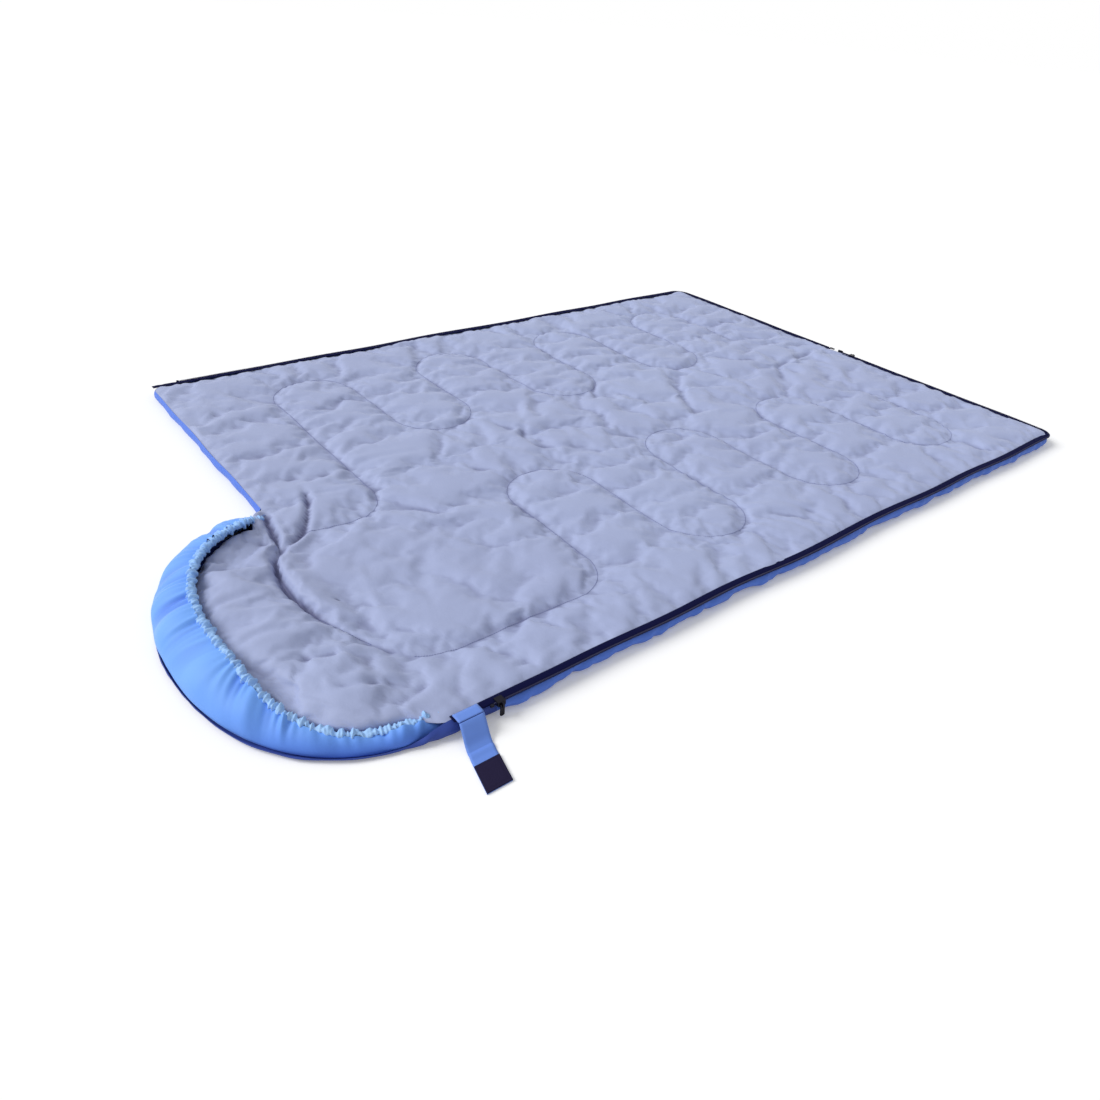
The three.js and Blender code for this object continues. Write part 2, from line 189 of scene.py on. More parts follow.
hood_route = [(-0.030, neck + 0.006)]
go_through(hood_route, (-0.14, neck + 0.025), (-0.20, neck + 0.055), (-0.30, neck + 0.067), (-0.40, neck + 0.050),
           (-0.505, neck + 0.001))
back_route = [(-0.505, neck + 0.001)]
go_through(back_route, (-0.550, neck - 0.040), (-0.567, neck - 0.100))
go_to(back_route, -0.567, 0.590)
go_round(back_route, (-0.472, 0.590), 0.095, math.pi, math.pi * 1.5)
go_rows(back_route, -1, 0.495, 7, False)
front_route = [(-0.118, 0.935)]
go_through(front_route, (-0.125, 0.80), (-0.095, 0.745), (-0.040, 0.722))
go_rows(front_route, 1, 0.720, 8, True)

quilt_points = np.array(hood_route + back_route + front_route)
quilt_tree = kdtree.KDTree(len(quilt_points))
for index, spot in enumerate(quilt_points):
    quilt_tree.insert((spot[0], spot[1], 0), index)
quilt_tree.balance()


# ---- The quilted panel's surface ----
# Filling swells between the stitching and the edges, and the loose cloth over it lies in soft
# creases: long ones fanning out of the corners and the notch, short ones pulled in by the thread.

dice = np.random.default_rng(41)


def smoothstep(x, low, high):
    t = np.clip((x - low) / (high - low), 0, 1)
    return t * t * (3 - 2 * t)


wave_set = [(dice.uniform(0.7, 1.3), dice.uniform(0, 2 * math.pi)) for _ in range(7)]


def ripple(t, pitch):
    """A smooth uneven wave along t, about -1 to 1, with crests roughly pitch apart."""
    total = 0
    for number, (speed, phase) in enumerate(wave_set):
        total = total + np.sin(2 * math.pi * t * speed * (0.6 + 0.17 * number) / pitch + phase)
    return total / 3.2


# Each crease is (x, y, direction, length, width, height, bow).
creases = []


def add_crease(x, y, direction, length, width, height, bow=0.0):
    creases.append((x, y, direction, length, width, height, bow))


def fan(corner, low, high, count, near, far, width, height):
    """Creases that spread from a corner between two directions, in degrees."""
    for _ in range(count):
        direction = math.radians(dice.uniform(low, high))
        start = dice.uniform(near, far)
        length = dice.uniform(0.10, 0.26)
        middle = start + length / 2
        add_crease(corner[0] + middle * math.cos(direction), corner[1] + middle * math.sin(direction),
                   direction,
                   length, width * dice.uniform(0.7, 1.4), height * dice.uniform(0.5, 1.2),
                   dice.uniform(-0.02, 0.02))


fan((0.0, neck), -170, -20, 26, 0.02, 0.16, 0.009, 0.0024)
fan((wall, neck), 185, 262, 18, 0.03, 0.30, 0.010, 0.0020)
fan((-wall, neck), -85, 20, 20, 0.02, 0.25, 0.009, 0.0022)
fan((-wall, -neck), 10, 80, 10, 0.03, 0.25, 0.009, 0.0016)
fan((wall, -neck), 100, 170, 10, 0.03, 0.25, 0.009, 0.0016)
for _ in range(230):
    add_crease(dice.uniform(-wall, wall), dice.uniform(-neck, neck + 0.1), dice.normal(2.2, 0.75),
               dice.uniform(0.05, 0.20), dice.uniform(0.005, 0.011), dice.uniform(-0.0010, 0.0015),
               dice.uniform(-0.02, 0.02))
for _ in range(30):
    add_crease(dice.normal(-0.02, 0.05), dice.uniform(-neck, neck * 0.8), dice.normal(math.pi / 2, 0.22),
               dice.uniform(0.15, 0.35), dice.uniform(0.008, 0.016), dice.uniform(-0.0012, 0.0022), 0.01)


def crease_height(x, y, lines):
    total = np.zeros_like(x)
    for at_x, at_y, direction, length, width, height, bow in lines:
        along = (x - at_x) * math.cos(direction) + (y - at_y) * math.sin(direction)
        across = (y - at_y) * math.cos(direction) - (x - at_x) * math.sin(direction)
        near = (np.abs(along) < length / 2) & (np.abs(across) < 4 * width + abs(bow))
        if not near.any():
            continue
        share = along[near] / (length / 2)
        offset = across[near] - bow * (1 - share**2)
        body = np.exp(-((offset / width) ** 2)) - 0.45 * np.exp(-(((offset - 1.6 * width) / width) ** 2))
        total[near] += height * (1 - share**2) ** 1.5 * body
    return total


# The long folds: deep ones where hood, back half and front half pull against each other at the notch,
# and shallow ones left along the fold and by the packing. Each is (depth, width, spots along it),
# in millimetres.
long_folds = [
    (13, 7.5, [(35, 845), (-10, 858), (-60, 880), (-105, 908), (-140, 945), (-158, 985)]),
    (12, 7, [(-6, 948), (-50, 957), (-100, 966), (-145, 978)]),
    (7.5, 7, [(-145, 978), (-200, 1005), (-300, 1017), (-380, 1004)]),
    (-5, 16, [(-10, 905), (-60, 918), (-110, 945)]),
    (5, 7, [(-75, 900), (-100, 925), (-115, 950)]),
    (4.5, 7, [(-42, 905), (-60, 925), (-90, 940)]),
    (4, 8, [(80, 170), (60, 250), (-30, 305), (-80, 260), (-120, 180)]),
    (3.2, 8, [(200, -100), (130, -40), (70, 0)]),
    (3.5, 8, [(55, 850), (80, 700), (60, 550)]),
    (5.5, 8, [(-80, -590), (0, -670), (20, -750), (30, -900)]),
    (3.2, 7, [(-560, 90), (-620, 50), (-690, 40)]),
    (3.2, 7, [(-540, 10), (-610, -30), (-690, -30)]),
    (5.5, 8, [(-470, 1090), (-490, 1030), (-520, 985)]),
    (5.5, 8, [(-560, 1070), (-580, 1010), (-600, 965)]),
    (5, 8, [(-640, 1010), (-630, 965), (-610, 925)]),
    (4, 8, [(-400, 1150), (-395, 1100), (-410, 1050)]),
    (4, 8, [(-300, 1180), (-285, 1120), (-290, 1070)]),
    (4, 8, [(-190, 1150), (-180, 1100), (-200, 1050)]),
]


def fold_height(x, y):
    total = np.zeros_like(x)
    for deep, broad, spots in long_folds:
        deep, broad = deep / 1000, broad / 1000
        spots = [(a / 1000, b / 1000) for a, b in spots]
        line = [spots[0]]
        go_through(line, *spots[1:], step=0.004)
        line = np.array(line)
        low, high = line.min(0) - 0.06, line.max(0) + 0.06
        near = np.nonzero((x > low[0]) & (x < high[0]) & (y > low[1]) & (y < high[1]))[0]
        gap = np.hypot(x[near, None] - line[None, :, 0], y[near, None] - line[None, :, 1])
        nearest = gap.argmin(1)
        gap = gap[np.arange(len(near)), nearest]
        share = nearest / (len(line) - 1)
        fade = np.minimum(1, 3.5 * np.minimum(share, 1 - share) + 0.25)
        beside = 0.35 * np.exp(-(((gap - 2.1 * broad) / (1.1 * broad)) ** 2))
        total[near] += -deep * fade * (np.exp(-((gap / broad) ** 2)) - beside)
    return total


def quilt_distance(x, y):
    """Distance to the nearest stitching, and the place along the line of that spot."""
    found = [quilt_tree.find((a, b, 0)) for a, b in zip(x, y)]
    return np.array([f[2] for f in found]), np.array([f[1] for f in found]) * 0.004


def drift(x, y):
    """The soft wander of every edge from its straight line, none where the sliders and the strap sit."""
    free = smoothstep(np.hypot(np.abs(x) - wall, y - 0.900), 0.07, 0.22) * smoothstep(np.abs(x), 0.03, 0.25)
    free = free * smoothstep(np.hypot(np.abs(x) - 0.06, y + neck), 0.04, 0.20)
    return (free * 0.0030 * np.sign(x) * ripple(y + 0.3 * np.abs(x), 0.50),
            free * 0.0026 * ripple(np.abs(x) - 0.2 * y + 3, 0.45))


def new_object(name, mesh):
    data = bpy.data.meshes.new(name)
    mesh.to_mesh(data)
    mesh.free()
    obj = bpy.data.objects.new(name, data)
    bpy.context.scene.collection.objects.link(obj)
    data.shade_smooth()
    return obj


def coordinates(mesh):
    return np.array([v.co for v in mesh.verts], float).reshape(-1, 3)


def move_all(mesh, co):
    for vert, spot in zip(mesh.verts, co):
        vert.co = spot


# The cloth is cut as one body rectangle with the hood's half disc on the back half's head end.
hood_centre = -wall / 2
hood_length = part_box("hood_band")[1].y - neck
hood_squareness = 2.25
cut_column = -0.030
cut_row = 0.872
corner = 0.030

band_lean = 0.080
band_height = 0.062
band_sweep = math.radians(78)
band_depth_facing = 0.0058


def hood_outline(turn, inset):
    cos, sin = np.cos(turn), np.sin(turn)
    half_x, half_y = wall / 2 - 0.002, hood_length
    x = -half_x * np.sign(cos) * np.abs(cos) ** (2 / hood_squareness)
    y = half_y * np.abs(sin) ** (2 / hood_squareness)
    nx = np.sign(x) * np.abs(x / half_x) ** (hood_squareness - 1) / half_x
    ny = (y / half_y) ** (hood_squareness - 1) / half_y
    size = np.hypot(nx, ny)
    return hood_centre + x - nx / size * inset, neck + 0.0003 + y - ny / size * inset


even_turns = np.linspace(0, math.pi, 2001)
path_x, path_y = hood_outline(even_turns, 0.045)
path_run = np.concatenate([[0], np.cumsum(np.hypot(np.diff(path_x), np.diff(path_y)))])
band_run = path_run[-1]


def turn_at(run):
    return np.interp(run, path_run, even_turns)


def band_share(turn):
    """Height as a share of the full height: low at the neck and lower towards the zip side."""
    away = hood_outline(turn, 0)[1] - neck
    share = 0.4 + 0.6 * smoothstep(away, 0, 0.090)
    return np.minimum(share, 0.42 + 0.58 * smoothstep(turn, 0.35, 1.45))


def hem_centre(turn):
    """Inset and height of the middle of the hem tube."""
    share = band_share(turn)
    lean = band_lean * share**1.5
    inset = lean - (lean - 0.003) * math.cos(band_sweep) + 0.0063
    return inset, (band_height * share - 0.003) * math.sin(band_sweep)


def pillow_inset(turn, side):
    """How far inside the outline the pillow stops: beside the hem where that is low, under it where it is high."""
    inset, height = hem_centre(turn)
    under = smoothstep(height, 0.040, 0.056)
    return (inset + 0.0090) * (1 - under) + (0.048 + 0.014 * side) * under


def on_hood(y):
    """0 on the body and at the neck, 1 on the hood proper."""
    return smoothstep(y - neck, 0.0, 0.085)


def lay_panel(spacing, spare, roll_length, profile, surface, tuck, billow=None):
    """One cloth over the body and the hood, with its edges rolled to the seam line at the wall.
    spare is the cloth beyond the wall line before rolling and roll_length(hood) the cloth in the roll.
    profile(share, hood, x, y) gives how far inside the seam the roll is and its height as a share of the
    way from the seam's height to the surface, surface(x, y, hood) the height of the open cloth."""
    half = wall + spare
    end = neck + spare
    columns = 2 * round(half / spacing)
    body_rows = round(2 * end / spacing)
    hood_rows = round(hood_length / spacing)
    rows = body_rows + hood_rows
    mesh = bmesh.new()
    bmesh.ops.create_grid(mesh, x_segments=columns, y_segments=rows, size=1)
    co = coordinates(mesh)
    x = half * co[:, 0] * (1 - 0.5 * np.exp(-((co[:, 0] * half / 0.06) ** 2)))
    step = np.rint((co[:, 1] + 1) / 2 * rows)
    y = np.where(step <= body_rows, -end + 2 * end * step / body_rows,
                 end + (step - body_rows) / hood_rows * hood_length)
    grid_x, grid_y = x.copy(), y.copy()

    # Distance in from the cut edge, and the way out over it.
    away = half - np.abs(x)
    out = np.stack([np.sign(x), np.zeros_like(x)], 1)
    for gap, way, where in ((y + end, (0, -1), x < 9), (end - y, (0, 1), x >= 0)):
        nearer = where & (gap < away)
        away[nearer] = gap[nearer]
        out[nearer] = way
    notch = (x < 0) & (y < end)
    gap = np.hypot(x, end - y)
    nearer = notch & (gap < away)
    away[nearer] = gap[nearer]
    out[nearer] = np.stack([-x[nearer], (end - y)[nearer]], 1) / np.maximum(gap[nearer], 1e-6)[:, None]

    # The two foot corners and the front half's head corner are quarter discs.
    radius = corner + spare
    for sx, sy in ((-1, -1), (1, -1), (1, 1)):
        across = (sx * x - (half - radius)) / radius
        along = (sy * y - (end - radius)) / radius
        inside = (across > 0) & (along > 0) & (step <= body_rows)
        p, q = across[inside], along[inside]
        u, v = p * np.sqrt(1 - q * q / 2), q * np.sqrt(1 - p * p / 2)
        x[inside], y[inside] = sx * (half - radius + radius * u), sy * (end - radius + radius * v)
        length = np.hypot(u, v)
        away[inside] = radius * (1 - length)
        out[inside] = np.stack([sx * u, sy * v], 1) / np.maximum(length, 1e-6)[:, None]

    # The hood is half a disc, a little squarer than an ellipse.
    hooded = (step >= body_rows) & (grid_x < 1e-6)
    p = np.clip(grid_x[hooded] / (half / 2) + 1, -1, 1)
    q = (grid_y[hooded] - end) / hood_length
    px, qy = p * np.sqrt(1 - q * q / 2), q * np.sqrt(1 - p * p / 2)
    reach = np.maximum(np.hypot(px, qy), 1e-6)
    cos, sin = px / reach, qy / reach
    power = np.maximum(np.abs(cos) ** hood_squareness + sin**hood_squareness, 0.1)
    square = 1 + (power ** (-1 / hood_squareness) - 1) * reach**2
    half_y = hood_length + spare * smoothstep(q, 0.0, 0.3)
    rim = (power ** (-1 / hood_squareness) * np.abs(cos)) ** (hood_squareness / 2)
    turn = np.arccos(np.clip(-np.sign(cos) * rim, -1, 1))
    pull_in = tuck(turn, cos) * smoothstep(qy * hood_length, 0.0, 0.060)
    x[hooded] = -half / 2 + (half / 2 - pull_in) * px * square
    y[hooded] = end - spare * smoothstep(q, 0, 0.3) + (half_y - pull_in) * qy * square
    away[hooded] = (1 - reach) * np.hypot(half / 2 * cos, hood_length * sin)
    normal = np.stack([px / (half / 2), qy / half_y], 1)
    out[hooded] = normal / np.maximum(np.linalg.norm(normal, axis=1), 1e-6)[:, None]

    flat = np.stack([x, y], 1)
    hood = on_hood(y) * (x < 0.001)
    length = roll_length(hood, x)
    share = np.clip(away / length, 0, 1)
    inward, rise = profile(share, hood, x, y)
    shift = np.where(share < 1, away - spare - inward, 0)
    x, y = x + out[:, 0] * shift, y + out[:, 1] * shift
    height, seam = surface(x, y, hood)
    wander_x, wander_y = drift(x, y)
    laid = np.stack([x + wander_x, y + wander_y, seam + (height - seam) * rise], 1)
    if billow:
        laid = billow(laid, (columns, body_rows, hood_rows), share)
    move_all(mesh, laid)

    spare_faces = [f for f in mesh.faces if np.mean([grid_x[v.index] for v in f.verts]) > 0
                   and np.mean([step[v.index] for v in f.verts]) > body_rows]
    kept = mesh.verts.layers.int.new("place")
    for vert in mesh.verts:
        vert[kept] = vert.index
    bmesh.ops.delete(mesh, geom=spare_faces, context="FACES")
    mesh.normal_update()
    return mesh, kept, flat, grid_x, grid_y, step > body_rows - 0.5, share, (columns, body_rows, hood_rows)


def split_panel(names, laid, turned=False, painted_shade=None):
    """Parts the cloth between the body and the hood, which bend about different folds, with the shading
    kept unbroken, and returns both pieces and their flat areas."""
    mesh, kept, flat, grid_x, grid_y, above, _, _ = laid
    if turned:
        bmesh.ops.reverse_faces(mesh, faces=mesh.faces)
        mesh.normal_update()
    normals = {v[kept]: v.normal.copy() for v in mesh.verts}
    hooded = []
    for face in mesh.faces:
        places = [v[kept] for v in face.verts]
        at_x, at_y = np.mean(grid_x[places]), np.mean(grid_y[places])
        hooded.append(at_x < 0 and (bool(above[places].all()) or at_x < cut_column and at_y > cut_row))
    made = []
    for name, hood_side in zip(names, (False, True)):
        part = mesh.copy()
        layer = part.verts.layers.int["place"]
        part.faces.ensure_lookup_table()
        away = [f for f, is_hood in zip(part.faces, hooded) if is_hood != hood_side]
        bmesh.ops.delete(part, geom=away, context="FACES")
        area = sum(abs(sum(flat[a][0] * flat[b][1] - flat[b][0] * flat[a][1]
                           for a, b in zip(ring, ring[1:] + ring[:1]))) / 2
                   for ring in ([v[layer] for v in f.verts] for f in part.faces))
        places = [v[layer] for v in part.verts]
        obj = new_object(name, part)
        # The painted shade of the creases goes on each piece as a point attribute.
        if painted_shade is not None:
            shade = obj.data.attributes.new("painted_shade", "FLOAT", "POINT")
            shade.data.foreach_set("value", painted_shade[places].astype(np.float32))
        obj.data.normals_split_custom_set_from_vertices([normals[p] for p in places])
        made.append((obj, area))
    mesh.free()
    return made


# ---- Cloth finishes ----
# Shell, lining and band are thin crisp woven polyester. Close up it shows the weave, further off
# the small hard creases of cloth that was packed away.


def group_tree(name, inputs, outputs):
    group = bpy.data.node_groups.new(name, "ShaderNodeTree")
    for label, kind, value in inputs:
        socket = group.interface.new_socket(name=label, in_out="INPUT", socket_type=kind)
        if value is not None:
            socket.default_value = value
    for label, kind in outputs:
        group.interface.new_socket(name=label, in_out="OUTPUT", socket_type=kind)
    return group, group.nodes.new("NodeGroupInput"), group.nodes.new("NodeGroupOutput")


def add_node(tree, kind, **settings):
    node = tree.nodes.new(kind)
    for key, value in settings.items():
        if key.startswith("in_"):
            node.inputs[key[3:].replace("_", " ")].default_value = value
        else:
            setattr(node, key, value)
    return node


creased, creased_in, creased_out = group_tree(
    "creased_cloth",
    [("Vector", "NodeSocketVector", None), ("Crease Scale", "NodeSocketFloat", 9.0),
     ("Stretch", "NodeSocketFloat", 0.45), ("Turn", "NodeSocketFloat", 0.9)],
    [("Height", "NodeSocketFloat"), ("Tone", "NodeSocketFloat")])
turned = add_node(creased, "ShaderNodeVectorRotate", rotation_type="Z_AXIS")
narrowed = add_node(creased, "ShaderNodeCombineXYZ", in_X=1.0, in_Z=1.0)
scaled = add_node(creased, "ShaderNodeVectorMath", operation="MULTIPLY")
warp = add_node(creased, "ShaderNodeTexNoise", in_Scale=3.1, in_Detail=2.0)
bent = add_node(creased, "ShaderNodeVectorMath", operation="MULTIPLY_ADD")
bent.inputs[1].default_value = (0.16, 0.16, 0.16)
folds = add_node(creased, "ShaderNodeTexNoise", noise_type="RIDGED_MULTIFRACTAL", in_Detail=3.0,
                 in_Lacunarity=2.1)
folds.inputs["Roughness"].default_value = 0.55
fine = add_node(creased, "ShaderNodeTexNoise", in_Scale=170.0, in_Detail=2.0)
fine_share = add_node(creased, "ShaderNodeMath", operation="MULTIPLY_ADD")
fine_share.inputs[1].default_value = 0.05
tone = add_node(creased, "ShaderNodeTexNoise", in_Scale=2.3, in_Detail=3.0)
for a, b in ((creased_in.outputs["Vector"], turned.inputs["Vector"]),
             (creased_in.outputs["Turn"], turned.inputs["Angle"]),
             (creased_in.outputs["Stretch"], narrowed.inputs["Y"]),
             (turned.outputs[0], scaled.inputs[0]),
             (narrowed.outputs[0], scaled.inputs[1]),
             (scaled.outputs[0], warp.inputs["Vector"]),
             (warp.outputs["Color"], bent.inputs[0]),
             (scaled.outputs[0], bent.inputs[2]),
             (bent.outputs[0], folds.inputs["Vector"]),
             (creased_in.outputs["Crease Scale"], folds.inputs["Scale"]),
             (creased_in.outputs["Vector"], fine.inputs["Vector"]),
             (fine.outputs[0], fine_share.inputs[0]),
             (folds.outputs[0], fine_share.inputs[2]),
             (fine_share.outputs[0], creased_out.inputs["Height"]),
             (creased_in.outputs["Vector"], tone.inputs["Vector"]),
             (tone.outputs[0], creased_out.inputs["Tone"])):
    creased.links.new(a, b)


def cloth_finish(name, colour, deeper, depth=0.0022, scale=9.0, painted_shade_colour=None):
    finish = bpy.data.materials.new(name)
    finish.use_nodes = True
    tree = finish.node_tree
    skin = tree.nodes["Principled BSDF"]
    place = add_node(tree, "ShaderNodeTexCoord")
    cloth = add_node(tree, "ShaderNodeGroup", node_tree=creased)
    cloth.inputs["Crease Scale"].default_value = scale
    cloth.inputs["Stretch"].default_value = 0.45
    cloth.inputs["Turn"].default_value = 0.9
    blend = add_node(tree, "ShaderNodeMix", data_type="RGBA")
    blend.inputs["A"].default_value = (*deeper, 1)
    blend.inputs["B"].default_value = (*colour, 1)
    bump = add_node(tree, "ShaderNodeBump")
    bump.inputs["Distance"].default_value = depth
    bump.inputs["Strength"].default_value = 1.0
    tree.links.new(place.outputs["Object"], cloth.inputs["Vector"])
    tree.links.new(cloth.outputs["Tone"], blend.inputs["Factor"])
    shown = blend.outputs["Result"]
    # Painted shade: a per-vertex shade attribute mixes the base colour towards a darker colour where creases,
    # gathers or the band would shade the cloth.
    if painted_shade_colour:
        painted_shade = add_node(tree, "ShaderNodeAttribute", attribute_name="painted_shade")
        darken = add_node(tree, "ShaderNodeMix", data_type="RGBA")
        darken.inputs["B"].default_value = (*painted_shade_colour, 1)
        tree.links.new(painted_shade.outputs["Fac"], darken.inputs["Factor"])
        tree.links.new(shown, darken.inputs["A"])
        shown = darken.outputs["Result"]
    tree.links.new(shown, skin.inputs["Base Color"])
    tree.links.new(cloth.outputs["Height"], bump.inputs["Height"])
    tree.links.new(bump.outputs[0], skin.inputs["Normal"])
    skin.inputs["Roughness"].default_value = 0.62
    skin.inputs["Specular IOR Level"].default_value = 0.35
    skin.inputs["Sheen Weight"].default_value = 0.15
    skin.inputs["Sheen Roughness"].default_value = 0.4
    return finish


def plain_finish(name, colour, roughness=0.5, metallic=0.0, grain=0.0, scale=900.0, shine=0.15):
    finish = bpy.data.materials.new(name)
    finish.use_nodes = True
    tree = finish.node_tree
    skin = tree.nodes["Principled BSDF"]
    skin.inputs["Base Color"].default_value = (*colour, 1)
    skin.inputs["Roughness"].default_value = roughness
    skin.inputs["Metallic"].default_value = metallic
    skin.inputs["Specular IOR Level"].default_value = shine
    place = add_node(tree, "ShaderNodeTexCoord")
    speck = add_node(tree, "ShaderNodeTexNoise", in_Scale=scale, in_Detail=2.0)
    bump = add_node(tree, "ShaderNodeBump")
    bump.inputs["Distance"].default_value = grain
    tree.links.new(place.outputs["Object"], speck.inputs["Vector"])
    tree.links.new(speck.outputs[0], bump.inputs["Height"])
    tree.links.new(bump.outputs[0], skin.inputs["Normal"])
    return finish


def dress(obj, finish):
    obj.data.materials.clear()
    obj.data.materials.append(finish)
    return obj


# The lining's third, darkest colour is painted shade for its deep creases.
lining_finish = cloth_finish("lining_lavender", (0.395, 0.455, 0.68), (0.350, 0.395, 0.61), depth=0.006,
                             painted_shade_colour=(0.13, 0.14, 0.27))
shell_finish = cloth_finish("shell_royal_blue", (0.095, 0.21, 0.74), (0.070, 0.17, 0.66), depth=0.004)
# The band's darkest colour is painted shade, used for its low zip side and for the valleys of the gathers.
band_finish = cloth_finish("band_sky_blue", (0.23, 0.49, 0.95), (0.09, 0.27, 0.90), depth=0.0045, scale=11.0,
                           painted_shade_colour=(0.045, 0.13, 0.66))
# The facing is the lining's own lavender-grey cloth, painted darker as the shade inside the band.
facing_shade_finish = cloth_finish("facing_grey_painted_shade", (0.25, 0.26, 0.38), (0.20, 0.21, 0.33), depth=0.0015, scale=14.0)
# The shell under the hood is the same royal-blue cloth; this navy is painted shade for where it lies under the
# band.
shell_shade_finish = cloth_finish("shell_navy_painted_shade", (0.035, 0.075, 0.36), (0.025, 0.055, 0.30), depth=0.0015)


# ---- The lining: the upper face of both halves and the hood's pillow ----
# Lavender cloth laid open over the whole bag. It is sewn into the zip seam round the body and
# tucks down inside the band round the hood.

seam_level = 0.0274
tape_room = 0.0007
lining_spare = 0.0025
stitched_level = 0.0262
puff = 0.0045
broad_top = 0.0292             # the most the simulation may raise the cloth over a hand's breadth


def tape_between(x, y):
    """1 where the zip tape parts the lining from the shell at the seam, 0 at the fold and the head edge."""
    clear_of_fold = smoothstep(np.abs(x), 0.012, 0.020)
    at_head = (y > 0.92) * (1 - smoothstep(np.abs(x), wall - 0.030, wall - 0.010))
    return clear_of_fold * (1 - at_head)


def lining_roll(hood, x):
    """Cloth taken up by the rolled edge: more at the pillow's far side than beside the low hem."""
    side = np.clip((x - hood_centre) / (wall / 2), -1, 1)
    return lining_spare + 0.0225 + hood * (0.0075 + 0.0120 * side)


def lining_profile(share, hood, x, y):
    reach = lining_roll(hood, x) - lining_spare
    return reach * (1 - np.cos(share * math.pi / 2)), np.sin(share * math.pi / 2)


def cap(z, top, softness):
    """z held below top, smoothly over about softness."""
    return top - softness * np.logaddexp(0, (top - z) / softness)


def bolster(x, y):
    """The thick roll of filling round the pillow, 0 to 1."""
    return smoothstep(y, 0.93, 1.02) * (x < 0.001)


def quilted_level(x, y, hood, rough):
    """Heights of the lining, low on the stitching and raised between it by puff + rough, and of its seam."""
    gap, _ = quilt_distance(x, y)
    swell = 1 - np.exp(-((gap / 0.022) ** 1.2))
    roll = bolster(x, y) * np.sin(math.pi * np.clip(gap / 0.150, 0, 1) ** 0.75)
    pulled = 0.0045 * np.exp(-(((x + 0.22) / 0.12) ** 2 + ((y - 0.995) / 0.05) ** 2))
    seam = seam_level + tape_room * tape_between(x, y) - 0.014 * hood
    return stitched_level - pulled + (puff + rough) * swell + 0.0200 * roll, seam


def lining_slack(x, y, hood):
    """The lining before the filling pushes it up."""
    rough = 0.0003 * dice.standard_normal(len(x))
    rough = rough + 0.0014 * ripple(0.8 * x + 0.6 * y, 0.070) * ripple(y - 0.5 * x + 4, 0.160)
    rough = rough + 0.0010 * ripple(x - 0.7 * y + 9, 0.085) * ripple(0.4 * x + y + 2, 0.130)
    return quilted_level(x, y, hood, rough)


def averaged(level, reach, times):
    """The grid of levels with each spot replaced by the mean of those within reach of it."""
    for _ in range(times):
        for axis in (0, 1):
            level = sum(np.roll(level, offset, axis) for offset in range(-reach, reach + 1)) / (2 * reach + 1)
    return level


def billowed(laid):
    """The cloth shared out by a simulation: 4 % more cloth than the batting needs, held at the stitching and
    the seams, so that it wrinkles as sewn cloth does. Gives how far every spot of the grid moved."""
    mesh, kept, _, _, _, _, share, (columns, body_rows, hood_rows) = laid
    places = np.array([v[kept] for v in mesh.verts])
    before = coordinates(mesh)
    gap, _ = quilt_distance(before[:, 0], before[:, 1])
    held = (share[places] < 0.45) | (gap < 0.0045)
    slack = new_object("slack_lining", mesh)
    sewn = slack.vertex_groups.new(name="sewn")
    sewn.add([int(i) for i in np.nonzero(held)[0]], 1.0, "REPLACE")
    cloth = slack.modifiers.new("cloth", "CLOTH")
    cloth.settings.vertex_group_mass = "sewn"
    cloth.settings.quality = 4
    cloth.settings.mass = 0.05
    cloth.settings.tension_stiffness = 20
    cloth.settings.compression_stiffness = 20
    cloth.settings.shear_stiffness = 5
    cloth.settings.bending_stiffness = 0.5
    cloth.settings.shrink_min = -0.045
    cloth.settings.use_pressure = True
    cloth.settings.uniform_pressure_force = 0.5
    cloth.settings.effector_weights.gravity = 0
    cloth.point_cache.frame_start = 1
    cloth.point_cache.frame_end = 24
    for frame_number in range(1, 25):
        bpy.context.scene.frame_set(frame_number)
    shaped = slack.evaluated_get(bpy.context.evaluated_depsgraph_get())
    after = np.array([v.co for v in shaped.data.vertices], float).reshape(-1, 3)
    bpy.context.scene.frame_set(1)
    bpy.data.objects.remove(slack)
    moved = np.zeros(((body_rows + hood_rows + 1) * (columns + 1), 3))
    moved[places] = after - before
    moved = moved.reshape(body_rows + hood_rows + 1, columns + 1, 3)
    level = np.full(len(moved.reshape(-1, 3)), stitched_level)
    level[places] = after[:, 2]
    level = level.reshape(moved.shape[:2])
    too_high = np.maximum(averaged(level, 4, 3) - broad_top, 0)
    hood = np.zeros(len(level.reshape(-1)))
    hood[places] = on_hood(after[:, 1]) * (after[:, 0] < 0.001)
    moved[..., 2] -= too_high * (1 - hood.reshape(level.shape))
    return np.clip(moved, -0.016, 0.016), (columns, body_rows, hood_rows)


def resample(rows_of, index):
    """Values at fractional places along the first axis, as a smooth curve through the whole ones."""
    base = np.clip(np.floor(index).astype(int), 0, len(rows_of) - 1)
    t = (index - base)[:, None, None]
    a, b, c, d = (rows_of[np.clip(base + k, 0, len(rows_of) - 1)] for k in (-1, 0, 1, 2))
    return between(a, b, c, d, t)


slack_laid = lay_panel(0.0085, lining_spare, lining_roll, lining_profile, lining_slack, pillow_inset)
moved, (slack_columns, slack_body, slack_hood) = billowed(slack_laid)


def billow(laid, size, share):
    """Adds the simulated wrinkles to a finer grid of the same cloth."""
    columns, body_rows, hood_rows = size
    column = np.arange(columns + 1) * slack_columns / columns
    row = np.arange(body_rows + hood_rows + 1)
    row = np.where(row <= body_rows, row * slack_body / body_rows,
                   slack_body + (row - body_rows) * slack_hood / hood_rows)
    finer = resample(moved, row)
    finer = resample(finer.transpose(1, 0, 2), column).transpose(1, 0, 2)
    return laid + finer.reshape(-1, 3)


def lining_surface(x, y, hood):
    z, seam = quilted_level(x, y, hood, 0)
    return z + fold_height(x, y) + 0.9 * crease_height(x, y, creases), seam


